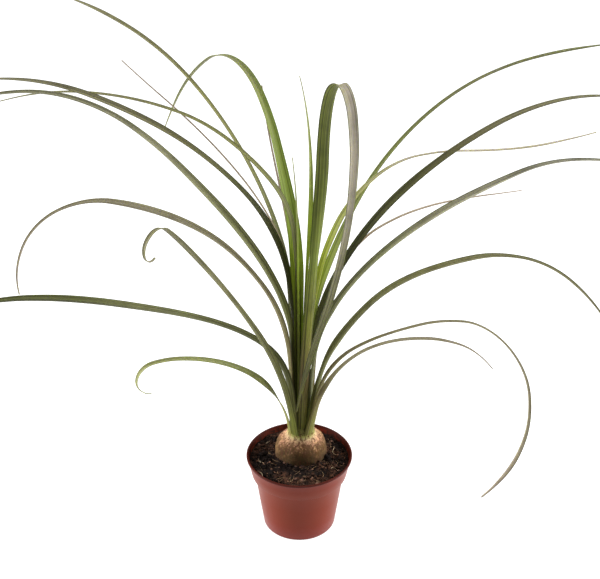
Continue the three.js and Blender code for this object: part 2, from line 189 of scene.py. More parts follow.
# One row for each leaf: heading from +X towards +Y, ring of leaf bases counted inwards, step between the
# midrib's stations, width of the blade, roll of the free blade, and lean of the midrib from upright at each
# station. Lists spread over the length.
LEAVES = [
    {"finish": "fresh", "heading": [201], "ring": 0, "step": 27,
     "width": [11, 12, 9.5, 7, 6.2, 5.8, 5.4, 5, 2.5],
     "roll": [-60, -60, -42, -28, -20, -18],
     "lean": [5, 17, 28, 39, 52, 62, 71, 80, 96, 170, 262]},
    {"finish": "olive", "heading": [243], "ring": 0, "step": 31,
     "width": [8.4, 8, 8.5, 9.2, 9, 8.5, 8.3, 8.3, 8, 6, 2],
     "roll": [0, 8],
     "lean": [13, 16, 20, 25, 28, 32, 34, 36, 37, 38, 39, 40, 41, 42, 46, 125, 290]},
    {"finish": "level", "heading": [222], "ring": 1, "step": 50,
     "width": [15, 12.5, 11.5, 11.5, 11, 10.5, 10, 9.5, 8.5, 6, 2],
     "roll": [0, 20, 40, 50, 56, 60, 62],
     "lean": [0, 5, 28, 45, 53, 58, 61, 62, 65, 70, 80, 85]},
    {"finish": "bronze", "heading": [205], "ring": 2, "step": 50,
     "width": [16, 12, 9.8, 9.8, 8.7, 9.6, 9.7, 8.5, 5, 3.8, 1.5],
     "roll": [0, 8, 18, 28, 37, 44, 52, 58, 62, 60, 60],
     "lean": [1, 1, 5, 18, 31, 39, 51, 61, 70, 105, 152, 187]},
    {"finish": "dark", "heading": [190], "ring": 3, "step": 60,
     "width": [17, 14, 12.5, 12, 12, 11, 10, 9.5, 8.5, 5, 2],
     "roll": [0, 20, 34, 42, 48, 52, 52, 52, 52, 55, 55],
     "lean": [0, 0, 4, 22, 31, 37, 40, 49, 68, 92, 106]},
    {"finish": "deep", "heading": [175], "ring": 4, "step": 60,
     "width": [17, 16, 14, 11.5, 10.5, 9.5, 9, 8.5, 8, 6, 2],
     "roll": [-10, -10, -12, -27, -24, -8, -6, -14, -16, -12, -12],
     "lean": [0, 0, 1, 6, 24, 42, 52, 63, 70, 85, 98]},
    {"finish": "olive", "heading": [158], "ring": 6, "step": 60,
     "width": [11, 13, 13, 11, 9, 7.5, 7, 7, 6, 4, 2],
     "roll": [0],
     "lean": [0, 0, 0, 0, 7, 44, 59, 79, 88, 96, 106, 112]},
    {"finish": "young", "heading": [124], "ring": 5, "step": 55,
     "width": [11, 12, 13.8, 16.2, 14, 10.5, 9.5, 8, 6, 4, 1.5],
     "roll": [0],
     "lean": [0, 0, 0, 2, 7, 20, 24, 45, 88, 122, 132, 142, 146]},
    {"finish": "olive", "heading": [135], "ring": 1, "step": 60,
     "width": [16, 13, 11, 9, 7.8, 6.9, 6.5, 6.5, 6.3, 6, 2.5],
     "roll": [0, 12, 16, 10, 0, 0],
     "lean": [1, 1, 1, 7, 26, 39, 50, 60, 71, 80, 85, 90]},
    {"finish": "dry", "heading": [144], "ring": 2, "step": 62,
     "width": [5, 3, 2.5, 2.2, 1.5],
     "roll": [0],
     "lean": [0, 0, 0, 5, 36, 51, 59, 64, 61]},
    {"finish": "dry", "heading": [105], "ring": 3, "step": 57,
     "width": [6, 3.2, 2.6, 2.2, 1.5],
     "roll": [0],
     "lean": [0, 1, 5, 20, 39, 50, 45, 25]},
    {"finish": "bronze", "heading": [311], "ring": 0, "step": 40,
     "width": [14, 10, 7.5, 5, 4.8, 5, 5, 5, 4.5, 3, 1.5],
     "roll": [-30, -35, -40, -40, -40, -45, -50, -55, -60, -60, -60],
     "lean": [13, 16, 27, 37, 45, 53, 60, 67, 80, 120]},
    {"finish": "bronze", "heading": [319], "ring": 1, "step": 51,
     "width": [14, 9, 6.4, 5.2, 4.4, 4.5, 4.3, 4.6, 4.6, 5, 2],
     "roll": [-20, -30, -30, -40, -45, -50, -60, -70, -70, -60, -50],
     "lean": [10, 13, 31, 47, 54, 58, 72, 122, 168, 190, 205, 214]},
    {"finish": "olive", "heading": [325], "ring": 2, "step": 50,
     "width": [15, 14, 12, 10, 8.7, 9, 8, 7.6, 5.6, 5.6, 2.5],
     "roll": [-15, -20, -30, -35, -40, -45, -55, -60, -60, -60, -60],
     "lean": [9, 10, 20, 31, 37, 48, 57, 63, 84, 118, 140]},
    {"finish": "painted_sheen", "heading": [343], "ring": 3, "step": 60,
     "width": [14, 14, 11, 10.5, 9.3, 9.2, 9, 8.5, 6.5, 4.5, 2.5],
     "roll": [-15, -25, -35, -42, -48, -52, -58, -60, -60, -60, -60],
     "lean": [2, 3, 14, 30, 40, 47, 54, 58, 82, 100]},
    {"finish": "deep", "heading": [22], "ring": 5, "step": 60,
     "width": [12, 12.8, 12.4, 13, 12.5, 12, 10, 9.2, 8.3, 7, 2.5],
     "roll": [0, 5],
     "lean": [0, 4, 12, 28, 40, 52, 61, 69, 82, 95, 105]},
    {"finish": "dry", "heading": [50], "ring": 0, "step": 66,
     "width": [5, 3.5, 3, 3, 3, 2.5, 1.5],
     "roll": [0, 25],
     "lean": [8, 6, 15, 57, 89, 98, 103, 105, 106, 105]},
    {"finish": "arching", "heading": [34], "ring": 6, "step": 60,
     "width": [10, 10.5, 12, 12.5, 9, 7, 6, 5.5, 5.5, 5, 2],
     "roll": [0, 0, 0, 0, -5, -5, -4, -3, 3, 15, 20],
     "lean": [0, 3, 10, 22, 29, 42, 56, 69, 81, 89, 93, 95]},
    {"finish": "wispy", "heading": [27], "ring": 7, "step": 60,
     "width": [9, 10, 11, 12, 10, 6, 4, 4, 4, 3.5, 1.5],
     "roll": [0, 0, 0, 0, 0, 0, 0, 15, 12, 10, 10],
     "lean": [0, 3, 8, 12, 27, 56, 90, 101, 97, 90, 87]},
    {"finish": "folded", "heading": [300, 314, 318, 274, 284, 290, 298, 305, 308],
     "ring": 4, "step": 42.2,
     "width": [18, 18.3, 16.4, 14.4, 12.3, 11.2, 9.2, 7.6, 7.3, 6.8, 1.5],
     "roll": [0, 0, 0, 0, 0, 0, 0, 5, 20, 30, 30],
     "lean": [3, 3, 4, 4, 5, 5, 6, 9, 13, 21, 36, 72, 159, 183, 191, 196, 199, 201, 202, 200, 197, 192]},
    {"finish": "lime", "heading": [60, 10, 5, 30, 80, 120, 140], "ring": 8, "step": 57,
     "width": [6, 6, 6, 6, 5.6, 4.4, 2.6, 0.8],
     "roll": [0],
     "lean": [0, 1, 2, 3, 4, 6, 9, 19]},
    {"finish": "lime", "heading": [215], "ring": 7, "step": 65,
     "width": [6, 5, 4, 1],
     "roll": [0],
     "lean": [0, 0, 0, 0, 2, 7]},
]


def mix(a, b, share):
    return a + (b - a) * share


def smooth(value, low, high):
    share = min(max((value - low) / (high - low), 0.0), 1.0)
    return share * share * (3 - 2 * share)


def along(stations, place):
    """Value of a list of stations at a place between them."""
    if len(stations) == 1:
        return stations[0]
    i = min(int(place), len(stations) - 2)
    return mix(stations[i], stations[i + 1], place - i)


def spread(values, share):
    """Value of a list at a share of the leaf's length."""
    return along(values, share * (len(values) - 1))


def eased(values, share):
    """The same, drawn smoothly through the list."""
    last = len(values) - 1
    if last < 2:
        return spread(values, share)
    place = share * last
    i = min(int(place), last - 1)
    part = place - i
    before, here, after, beyond = (values[min(max(i + k, 0), last)] for k in (-1, 0, 1, 2))
    rise, next_rise = (after - before) / 2, (beyond - here) / 2
    step = after - here
    bend = 3 * step - 2 * rise - next_rise
    return here + part * (rise + part * (bend + part * (rise + next_rise - 2 * step)))


def tint(red, green, blue):
    """A colour as seen, 0 to 255, in the linear values that a shader takes."""
    def linear(value):
        share = value / 255
        return share / 12.92 if share <= 0.04045 else ((share + 0.055) / 1.055) ** 2.4
    return (linear(red), linear(green), linear(blue), 1.0)


# Modelling helpers

def pick(piece):
    """Makes a piece the only selected and active object."""
    bpy.ops.object.select_all(action="DESELECT")
    piece.select_set(True)
    bpy.context.view_layer.objects.active = piece


def new_piece(name):
    """Names the primitive that was just added."""
    piece = bpy.context.object
    piece.name = name
    piece.data.name = name
    return piece


def apply_all(piece):
    pick(piece)
    for modifier in list(piece.modifiers):
        bpy.ops.object.modifier_apply(modifier=modifier.name)


def shade(piece, angle=None):
    pick(piece)
    if angle is None:
        bpy.ops.object.shade_smooth()
    else:
        bpy.ops.object.shade_smooth_by_angle(angle=math.radians(angle))


def select_no_faces():
    """Leaves nothing of the active mesh selected."""
    bpy.ops.object.mode_set(mode="EDIT")
    bpy.ops.mesh.select_all(action="DESELECT")
    bpy.ops.object.mode_set(mode="OBJECT")


def outward(piece):
    """Merges doubles and turns all faces outwards."""
    pick(piece)
    bpy.ops.object.mode_set(mode="EDIT")
    bpy.ops.mesh.select_all(action="SELECT")
    bpy.ops.mesh.remove_doubles(threshold=1e-6)
    bpy.ops.mesh.normals_make_consistent(inside=False)
    bpy.ops.object.mode_set(mode="OBJECT")


def join(pieces, name):
    """Joins copies into one piece."""
    bpy.ops.object.select_all(action="DESELECT")
    for piece in pieces:
        piece.select_set(True)
    bpy.context.view_layer.objects.active = pieces[0]
    bpy.ops.object.join()
    return new_piece(name)


def turned(name, outline, sides, centre=(0.0, 0.0)):
    """A closed turned form: a disc extruded and scaled ring by ring through an outline of radius and height,
    in millimetres, that starts and ends with a flat end."""
    radius, height = outline[0]
    x, y = centre[0] * MM, centre[1] * MM
    bpy.ops.mesh.primitive_circle_add(vertices=sides, radius=radius * MM, fill_type="NGON",
                                      location=(x, y, height * MM))
    piece = new_piece(name)
    bpy.ops.object.transform_apply(location=True, rotation=True, scale=True)
    bpy.ops.object.mode_set(mode="EDIT")
    bpy.ops.mesh.select_all(action="SELECT")
    for next_radius, next_height in outline[1:]:
        rise = (next_height - height) * MM
        bpy.ops.mesh.extrude_region_move(TRANSFORM_OT_translate={"value": (0, 0, rise)})
        scale = next_radius / radius
        bpy.ops.transform.resize(value=(scale, scale, 1), center_override=(x, y, next_height * MM))
        radius, height = next_radius, next_height
    bpy.ops.mesh.select_all(action="SELECT")
    bpy.ops.mesh.normals_make_consistent(inside=False)
    bpy.ops.object.mode_set(mode="OBJECT")
    return piece


def displace(piece, name, group, size, height, depth):
    """Raises and lowers the surface by a cloud texture, with its size and height in millimetres."""
    texture = bpy.data.textures.new(name, "CLOUDS")
    texture.noise_scale = size * MM
    texture.noise_depth = depth
    modifier = piece.modifiers.new(name, "DISPLACE")
    modifier.texture = texture
    modifier.texture_coords = "GLOBAL"
    modifier.strength = height * MM
    modifier.mid_level = 0.5
    modifier.vertex_group = group


def finish(piece, slot, materials, *nodes):
    """Gives a piece its materials, lets it ride on the one body, and hides the solids that it stands for.
    Its slot is not used."""
    piece.data.materials.clear()
    for material in materials:
        piece.data.materials.append(material)
    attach(piece, BODY)
    if nodes:
        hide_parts(*nodes)


# Material helpers

class Finish:
    """A node material that is built up from a few kinds of node."""

    def __init__(self, name, **values):
        """values: the shader's own sockets by name, with _ for a space."""
        self.material = bpy.data.materials.new(name)
        self.material.use_nodes = True
        self.tree = self.material.node_tree
        self.surface = self.tree.nodes["Principled BSDF"]
        for key, value in values.items():
            self.surface.inputs[key.replace("_", " ")].default_value = value

    def add(self, kind, inputs=None, **settings):
        made = self.tree.nodes.new(kind)
        for key, value in settings.items():
            setattr(made, key, value)
        for key, value in (inputs or {}).items():
            self.feed(made.inputs[key], value)
        return made

    def feed(self, socket, value):
        if isinstance(value, bpy.types.NodeSocket):
            self.tree.links.new(value, socket)
        else:
            socket.default_value = value

    def place(self, source="Object", scale=(1, 1, 1)):
        coordinates = self.add("ShaderNodeTexCoord").outputs[source]
        if scale == (1, 1, 1):
            return coordinates
        return self.add("ShaderNodeMapping", {"Vector": coordinates, "Scale": scale}).outputs["Vector"]

    def noise(self, vector, scale, detail, roughness=0.55, distortion=0.0):
        return self.add("ShaderNodeTexNoise", {
            "Vector": vector, "Scale": scale, "Detail": detail, "Roughness": roughness,
            "Distortion": distortion}).outputs["Fac"]

    def cells(self, vector, scale):
        return self.add("ShaderNodeTexVoronoi", {"Vector": vector, "Scale": scale}).outputs["Distance"]

    def ramp(self, value, stops):
        """stops: place and colour, or place and a grey value."""
        made = self.add("ShaderNodeValToRGB", {"Fac": value})
        band = made.color_ramp
        while len(band.elements) < len(stops):
            band.elements.new(1.0)
        for element, (place, colour) in zip(band.elements, stops):
            element.position = place
            element.color = colour if isinstance(colour, tuple) else (colour, colour, colour, 1.0)
        return made.outputs["Color"]

    def blend(self, share, first, second):
        """A mix of two colours: its sockets 6 and 7 take them, and 2 gives the result."""
        made = self.add("ShaderNodeMix", data_type="RGBA")
        self.feed(made.inputs[0], share)
        self.feed(made.inputs[6], first)
        self.feed(made.inputs[7], second)
        return made.outputs[2]

    def math(self, operation, first, second=0.0):
        made = self.add("ShaderNodeMath", operation=operation)
        self.feed(made.inputs[0], first)
        self.feed(made.inputs[1], second)
        return made.outputs[0]

    def times(self, first, second):
        return self.math("MULTIPLY", first, second)

    def axis(self, vector, name):
        return self.add("ShaderNodeSeparateXYZ", {"Vector": vector}).outputs[name]

    def colour(self, value):
        self.feed(self.surface.inputs["Base Color"], value)

    def roughness(self, value, low, high):
        made = self.add("ShaderNodeMapRange", {"Value": value, "To Min": low, "To Max": high})
        self.feed(self.surface.inputs["Roughness"], made.outputs["Result"])

    def bump(self, height, depth, strength):
        """Relief on top of what is there, with its depth in millimetres."""
        before = self.surface.inputs["Normal"].links
        inputs = {"Height": height, "Distance": depth * MM, "Strength": strength}
        if before:
            inputs["Normal"] = before[0].from_socket
        self.feed(self.surface.inputs["Normal"], self.add("ShaderNodeBump", inputs).outputs["Normal"])


def inner_wall(look, place, height):
    """1 on the collar's inner face, 0 on its outer one."""
    across, back = look.axis(place, "X"), look.axis(place, "Y")
    reach = look.math("SQRT", look.math("ADD", look.times(across, across), look.times(back, back)))
    slope = (COLLAR_TOP_RADIUS - COLLAR_FOOT_RADIUS) / COLLAR_HEIGHT
    outer = look.times(look.math("SUBTRACT", height, POT_HEIGHT * MM), slope)
    depth = look.math("SUBTRACT", look.math("ADD", outer, COLLAR_TOP_RADIUS * MM), reach)
    return look.math("GREATER_THAN", depth, 0.6 * WALL * MM)


def plastic_finish():
    """Brick red moulded polypropylene, satin, with a fine orange-peel surface, a little dust, and a dark
    band on the inner wall, partly a stain of soil and partly painted shade."""
    look = Finish("pot_plastic", IOR=1.46, Specular_IOR_Level=0.15)
    place = look.place()
    cloud = look.noise(place, scale=28, detail=5)
    height = look.axis(place, "Z")
    level = look.math("DIVIDE", height, POT_HEIGHT * MM)
    body = look.ramp(level, [(0.0, tint(116, 30, 14)), (0.3, tint(112, 38, 14)), (0.8, tint(110, 38, 15)),
                             (0.96, tint(106, 35, 18)), (0.99, tint(64, 21, 13))])
    body = look.blend(look.ramp(cloud, [(0.45, 0.0), (0.75, 0.25)]), body, tint(120, 44, 30))
    # Painted shade, blotched like a stain of soil: the inner wall of the collar is darkened to near black
    shade_and_stain_blotches = look.ramp(look.noise(place, scale=130, detail=5, roughness=0.65), [(0.4, 0.3), (0.6, 1.0)])
    reached = look.ramp(level, [(0.747, 0.0), (0.75, 1.0), (0.965, 0.95), (0.99, 0.35)])
    shade_and_stain = look.times(inner_wall(look, place, height), look.times(shade_and_stain_blotches, reached))
    look.colour(look.blend(shade_and_stain, body, tint(38, 20, 14)))
    look.roughness(cloud, low=0.3, high=0.42)
    look.bump(look.noise(place, scale=900, detail=2), depth=0.04, strength=0.5)
    look.bump(cloud, depth=0.12, strength=0.3)
    return look.material


def peat_finish(name, dark, light):
    """Moist peat: near black with brown grains."""
    look = Finish(name, Roughness=0.9, Specular_IOR_Level=0.1)
    place = look.place()
    grains = look.noise(place, scale=420, detail=6, roughness=0.7)
    patches = look.noise(place, scale=42, detail=3)
    base = look.ramp(grains, [(0.42, dark), (0.62, light), (0.76, tint(120, 84, 60))])
    look.colour(look.blend(look.ramp(patches, [(0.42, 0.0), (0.54, 0.9)]), base, dark))
    look.bump(grains, depth=0.8, strength=0.9)
    return look.material


def fibre_finish(name, pale, brown):
    """Bits of root, straw and bark."""
    look = Finish(name, Roughness=0.8)
    streaks = look.noise(look.place(), scale=240, detail=3)
    look.colour(look.ramp(streaks, [(0.35, brown), (0.6, pale)]))
    look.bump(streaks, depth=0.2, strength=0.5)
    return look.material


def bark_patches(look, place, level, base):
    """Pale patches, and a dark russet patch of painted shade that is widest on the front."""
    marbled = look.noise(place, scale=95, detail=6, roughness=0.7, distortion=1.2)
    pale = look.times(look.ramp(marbled, [(0.5, 0.0), (0.6, 1.0)]),
                      look.ramp(level, [(0.8, 0.1), (0.88, 0.6), (0.92, 1.0), (0.97, 0.3)]))
    base = look.blend(pale, base, tint(198, 156, 108))
    # Painted shade: a dark russet patch on the front of the bulb, across its upper half, broken by patches
    front = look.ramp(look.math("DIVIDE", look.math("ADD", look.axis(place, "Y"), 20 * MM), 30 * MM),
                      [(0.3, 1.0), (0.85, 0.15)])
    band = look.ramp(level, [(0.8, 0.3), (0.84, 1.0), (0.95, 1.0), (0.975, 0.7), (0.988, 0.0)])
    patches = look.noise(place, scale=48, detail=4, roughness=0.6, distortion=0.6)
    front_shade = look.times(look.ramp(patches, [(0.34, 0.6), (0.48, 1.0)]), look.times(front, band))
    return look.blend(look.times(front_shade, look.ramp(marbled, [(0.5, 1.0), (0.64, 0.45)])),
                      base, tint(74, 48, 22))


def bark_mottles(look, place, level, base):
    """Darker blotches low on the bulb near the soil, then dark mottles and a pink blush towards the
    shoulders.
    """
    # Darker blotches on the lower bulb, near the soil
    low_dark_blotches = look.times(look.ramp(look.noise(place, scale=80, detail=5, roughness=0.7),
                                [(0.4, 0.05), (0.56, 0.85)]),
                      look.ramp(level, [(0.83, 1.0), (0.89, 0.7), (0.93, 0.0)]))
    base = look.blend(low_dark_blotches, base, tint(56, 44, 22))
    mottled = look.noise(place, scale=210, detail=5, roughness=0.7, distortion=0.8)
    shadowy = look.times(look.ramp(mottled, [(0.4, 0.75), (0.54, 0.0)]),
                         look.ramp(level, [(0.8, 0.7), (0.93, 0.8), (0.97, 0.2)]))
    base = look.blend(shadowy, base, tint(66, 48, 20))
    blush = look.times(look.ramp(mottled, [(0.54, 0.0), (0.68, 0.8)]),
                       look.ramp(level, [(0.84, 0.0), (0.9, 0.6), (0.94, 1.0), (0.975, 0.0)]))
    return look.blend(blush, base, tint(214, 158, 132))


def bark_finish():
    """Thin corky bark: olive brown near the soil, with painted shade where it meets the soil and on the
    front of the bulb, peach at the shoulders and green at the neck, with cracks along its fibres and dark
    flecks."""
    look = Finish("caudex_bark", Roughness=0.8, Specular_IOR_Level=0.15)
    place = look.place()
    level = look.math("DIVIDE", look.axis(place, "Z"), NECK_HEIGHT * MM)
    fibres = look.noise(look.place(scale=(1, 1, 0.28)), scale=330, detail=6, roughness=0.65, distortion=0.4)
    flecks = look.cells(look.place(scale=(1, 1, 0.6)), scale=520)
    # Colour by height: the near-black browns just above the soil are painted shade, olive brown follows
    base = look.ramp(level, [(0.74, tint(50, 40, 24)), (0.79, tint(62, 48, 28)), (0.84, tint(104, 76, 38)),
                             (0.88, tint(138, 100, 56)), (0.91, tint(174, 126, 94)),
                             (0.94, tint(206, 162, 126)), (0.965, tint(206, 178, 134)),
                             (0.98, tint(176, 166, 112)), (1.0, tint(128, 126, 66))])
    base = bark_patches(look, place, level, base)
    base = bark_mottles(look, place, level, base)
    base = look.blend(look.ramp(fibres, [(0.4, 0.9), (0.51, 0.0)]), base, tint(72, 44, 26))
    look.colour(look.blend(look.ramp(flecks, [(0.16, 0.85), (0.3, 0.0)]), base, tint(88, 54, 34)))
    look.bump(fibres, depth=0.9, strength=0.8)
    look.bump(flecks, depth=0.3, strength=0.4)
    return look.material


def blade_finish(name, stops, dark, light, shaded=0.3, soft=0.0, painted_glow=0.0):
    """A leathery blade: colour stops along its length, bands and fine veins lengthwise, a darker margin,
    painted shade on one half, blotches, light that passes into the blade, and on some kinds a painted glow."""
    look = Finish(name, Specular_IOR_Level=0.12, Subsurface_Weight=soft,
                  Subsurface_Radius=(0.8, 1.0, 0.15), Subsurface_Scale=1.6 * MM)
    flat = look.place("UV")
    across = look.axis(flat, "X")
    base = look.ramp(look.axis(flat, "Y"), stops)
    bands = look.noise(look.place("UV", scale=(8, 1.6, 1)), scale=1.0, detail=3, roughness=0.6)
    veins = look.noise(look.place("UV", scale=(44, 3, 1)), scale=1.0, detail=3, roughness=0.6)
    base = look.blend(look.ramp(bands, [(0.38, 0.75), (0.5, 0.0)]), base, dark)
    base = look.blend(look.ramp(bands, [(0.5, 0.0), (0.64, 0.6)]), base, light)
    base = look.blend(look.ramp(veins, [(0.38, 0.45), (0.52, 0.0)]), base, dark)
    blotches = look.noise(look.place(), scale=30, detail=4, roughness=0.6)
    base = look.blend(look.ramp(blotches, [(0.5, 0.0), (0.72, 0.4)]), base, dark)
    # Painted shade: one half of the blade darker, as if its channel were lit from one side
    base = look.blend(look.ramp(across, [(0.5, 0.0), (0.72, shaded)]), base, dark)
    margin = look.math("ABSOLUTE", look.math("SUBTRACT", across, 0.5))
    base = look.blend(look.ramp(margin, [(0.41, 0.0), (0.48, 0.6)]), base, dark)
    look.colour(base)
    # Painted light: an even glow in the blade's own colour, whatever light falls on it
    if painted_glow:
        look.feed(look.surface.inputs["Emission Color"], base)
        look.surface.inputs["Emission Strength"].default_value = painted_glow
    look.roughness(veins, low=0.5, high=0.68)
    look.bump(bands, depth=0.3, strength=0.6)
    look.bump(veins, depth=0.12, strength=0.5)
    return look.material


# Kinds of leaf: colour stops from base to tip for the hollow upper face and the lower one, colours of dark
# and light bands, how dark the painted shade on one half is, how much light the blade lets through, and how
# strongly it glows with painted light in its own colour
LEAF_KINDS = {
    "fresh": dict(
        upper=[(0.0, tint(122, 118, 54)), (0.12, tint(128, 126, 70)), (0.4, tint(142, 146, 92)),
               (1.0, tint(160, 162, 112))],
        lower=[(0.0, tint(122, 120, 56)), (0.12, tint(124, 122, 66)), (0.4, tint(140, 144, 90)),
               (1.0, tint(160, 162, 112))],
        dark=tint(84, 84, 40), light=tint(172, 178, 126), soft=0.3),
    "olive": dict(
        upper=[(0.0, tint(122, 128, 50)), (0.12, tint(94, 96, 46)), (0.35, tint(88, 90, 46)),
               (0.6, tint(116, 114, 72)), (0.8, tint(132, 128, 94)), (1.0, tint(136, 130, 104))],
        lower=[(0.0, tint(128, 134, 56)), (0.12, tint(98, 98, 50)), (0.35, tint(94, 94, 52)),
               (0.6, tint(120, 116, 76)), (0.8, tint(134, 130, 98)), (1.0, tint(138, 130, 108))],
        dark=tint(48, 48, 20), light=tint(138, 142, 92), soft=0.2),
    "level": dict(
        upper=[(0.0, tint(116, 112, 60)), (0.15, tint(68, 68, 32)), (0.3, tint(74, 76, 38)),
               (0.55, tint(110, 112, 74)), (0.72, tint(76, 80, 42)), (1.0, tint(58, 64, 24))],
        lower=[(0.0, tint(122, 118, 64)), (0.15, tint(72, 72, 36)), (0.3, tint(78, 80, 42)),
               (0.55, tint(112, 112, 76)), (0.72, tint(80, 82, 44)), (1.0, tint(60, 66, 26))],
        dark=tint(42, 42, 16), light=tint(120, 128, 78), soft=0.15),
    # Painted reflection: the pale silver grey towards the tip stands for light from above reflected off the
    # blade
    "painted_sheen": dict(
        upper=[(0.0, tint(104, 108, 40)), (0.12, tint(72, 74, 34)), (0.28, tint(78, 80, 42)),
               (0.45, tint(126, 128, 84)), (0.6, tint(160, 158, 128)), (0.75, tint(180, 177, 152)),
               (1.0, tint(202, 198, 180))],
        lower=[(0.0, tint(110, 114, 44)), (0.12, tint(76, 78, 38)), (0.28, tint(82, 84, 46)),
               (0.45, tint(128, 130, 88)), (0.6, tint(162, 158, 130)), (0.75, tint(182, 178, 154)),
               (1.0, tint(202, 198, 180))],
        dark=tint(46, 46, 24), light=tint(160, 162, 122), soft=0.15),
    "dark": dict(
        upper=[(0.0, tint(104, 108, 40)), (0.12, tint(76, 80, 32)), (0.28, tint(80, 84, 36)),
               (0.45, tint(124, 126, 80)), (0.65, tint(154, 153, 120)), (1.0, tint(150, 147, 122))],
        lower=[(0.0, tint(110, 114, 44)), (0.12, tint(82, 84, 36)), (0.28, tint(86, 88, 42)),
               (0.45, tint(128, 128, 84)), (0.65, tint(156, 153, 122)), (1.0, tint(152, 147, 124))],
        dark=tint(40, 40, 16), light=tint(144, 150, 104), soft=0.15),
    "deep": dict(
        # The bright greens near the base are partly the blade's own colour and partly painted light lifting
        # the shade inside the crown
        upper=[(0.0, tint(126, 132, 46)), (0.12, tint(126, 130, 56)), (0.22, tint(104, 106, 52)),
               (0.32, tint(72, 74, 38)), (0.5, tint(64, 64, 36)), (0.64, tint(90, 86, 58)),
               (0.8, tint(124, 119, 92)), (1.0, tint(138, 133, 108))],
        lower=[(0.0, tint(128, 134, 50)), (0.12, tint(130, 132, 60)), (0.22, tint(108, 108, 56)),
               (0.32, tint(76, 76, 42)), (0.5, tint(66, 66, 38)), (0.64, tint(92, 87, 60)),
               (0.8, tint(126, 120, 94)), (1.0, tint(138, 133, 110))],
        dark=tint(38, 38, 16), light=tint(112, 116, 70), soft=0.15),
    "bronze": dict(
        upper=[(0.0, tint(110, 112, 46)), (0.15, tint(98, 94, 50)), (0.45, tint(128, 124, 92)),
               (0.8, tint(142, 136, 114)), (1.0, tint(156, 142, 128))],
        lower=[(0.0, tint(118, 120, 52)), (0.15, tint(104, 98, 56)), (0.45, tint(132, 126, 96)),
               (0.8, tint(144, 138, 116)), (1.0, tint(156, 142, 128))],
        dark=tint(66, 54, 32), light=tint(158, 154, 120), soft=0.2),
    "young": dict(
        upper=[(0.0, tint(96, 98, 40)), (0.12, tint(112, 116, 42)), (0.2, tint(142, 160, 46)),
               (0.31, tint(142, 160, 48)), (0.4, tint(104, 118, 46)), (0.5, tint(98, 106, 50)),
               (0.62, tint(108, 108, 74)), (0.7, tint(120, 114, 94)), (1.0, tint(130, 122, 108))],
        lower=[(0.0, tint(100, 102, 44)), (0.12, tint(116, 120, 46)), (0.2, tint(144, 162, 50)),
               (0.31, tint(144, 162, 52)), (0.4, tint(108, 122, 52)), (0.5, tint(104, 110, 58)),
               (0.62, tint(114, 112, 82)), (0.7, tint(124, 118, 100)), (1.0, tint(136, 126, 114))],
        dark=tint(74, 86, 26), light=tint(150, 168, 76), shaded=0.4, soft=0.4, painted_glow=0.16),
    "arching": dict(
        upper=[(0.0, tint(100, 104, 40)), (0.15, tint(130, 144, 46)), (0.27, tint(128, 142, 44)),
               (0.37, tint(86, 94, 38)), (0.55, tint(86, 88, 54)), (0.75, tint(104, 100, 78)),
               (0.9, tint(88, 86, 62)), (1.0, tint(76, 74, 50))],
        lower=[(0.0, tint(104, 108, 44)), (0.15, tint(134, 148, 50)), (0.27, tint(132, 146, 50)),
               (0.37, tint(92, 98, 44)), (0.55, tint(90, 92, 58)), (0.75, tint(106, 102, 80)),
               (0.9, tint(90, 88, 64)), (1.0, tint(78, 76, 52))],
        dark=tint(58, 62, 24), light=tint(132, 142, 74), soft=0.35, painted_glow=0.12),
    "wispy": dict(
        upper=[(0.0, tint(152, 166, 42)), (0.36, tint(140, 152, 46)), (0.46, tint(122, 124, 72)),
               (0.58, tint(150, 140, 128)), (1.0, tint(170, 156, 150))],
        lower=[(0.0, tint(154, 170, 48)), (0.36, tint(142, 154, 52)), (0.46, tint(124, 124, 76)),
               (0.58, tint(152, 142, 130)), (1.0, tint(170, 156, 150))],
        dark=tint(86, 84, 40), light=tint(172, 170, 120), soft=0.5, painted_glow=0.25),
    "folded": dict(
        # Painted sheen: the pale mauve grey on the upper face past the fold, from 0.56 to 0.8 of the length
        upper=[(0.0, tint(100, 112, 36)), (0.5, tint(112, 108, 78)), (0.56, tint(184, 172, 162)),
               (0.68, tint(164, 156, 138)), (0.8, tint(142, 138, 106)), (0.92, tint(108, 106, 68)),
               (1.0, tint(92, 84, 46))],
        lower=[(0.0, tint(130, 128, 60)), (0.08, tint(118, 100, 68)), (0.15, tint(114, 114, 46)),
               (0.25, tint(96, 108, 38)), (0.35, tint(84, 92, 34)), (0.5, tint(80, 84, 42)),
               (0.6, tint(112, 104, 80)), (1.0, tint(104, 96, 62))],
        dark=tint(42, 44, 18), light=tint(136, 144, 68), shaded=0.15, soft=0.3),
    "lime": dict(
        upper=[(0.0, tint(84, 82, 40)), (0.36, tint(92, 94, 42)), (0.5, tint(136, 152, 52)),
               (0.62, tint(156, 174, 60)), (0.75, tint(148, 158, 88)), (1.0, tint(140, 132, 110))],
        lower=[(0.0, tint(88, 86, 44)), (0.36, tint(96, 98, 46)), (0.5, tint(136, 152, 54)),
               (0.62, tint(156, 174, 64)), (0.75, tint(148, 156, 92)), (1.0, tint(140, 132, 112))],
        dark=tint(78, 84, 30), light=tint(160, 178, 84), soft=0.4, painted_glow=0.16),
    "dry": dict(
        upper=[(0.0, tint(112, 112, 50)), (0.2, tint(116, 108, 70)), (0.5, tint(132, 120, 100)),
               (1.0, tint(152, 140, 126))],
        lower=[(0.0, tint(116, 116, 54)), (0.2, tint(120, 110, 74)), (0.5, tint(134, 122, 104)),
               (1.0, tint(152, 140, 128))],
        dark=tint(84, 68, 52), light=tint(156, 146, 124)),
}


def leaf_finishes(kind, upper, lower, **look):
    return [blade_finish(f"leaf_{kind}_upper", upper, **look),
            blade_finish(f"leaf_{kind}_lower", lower, **look)]


# Pot

def pot_outside(z):
    collar_foot = POT_HEIGHT - COLLAR_HEIGHT
    if z < collar_foot:
        return mix(BASE_RADIUS, BODY_TOP_RADIUS, z / collar_foot)
    return mix(COLLAR_FOOT_RADIUS, COLLAR_TOP_RADIUS, (z - collar_foot) / COLLAR_HEIGHT)


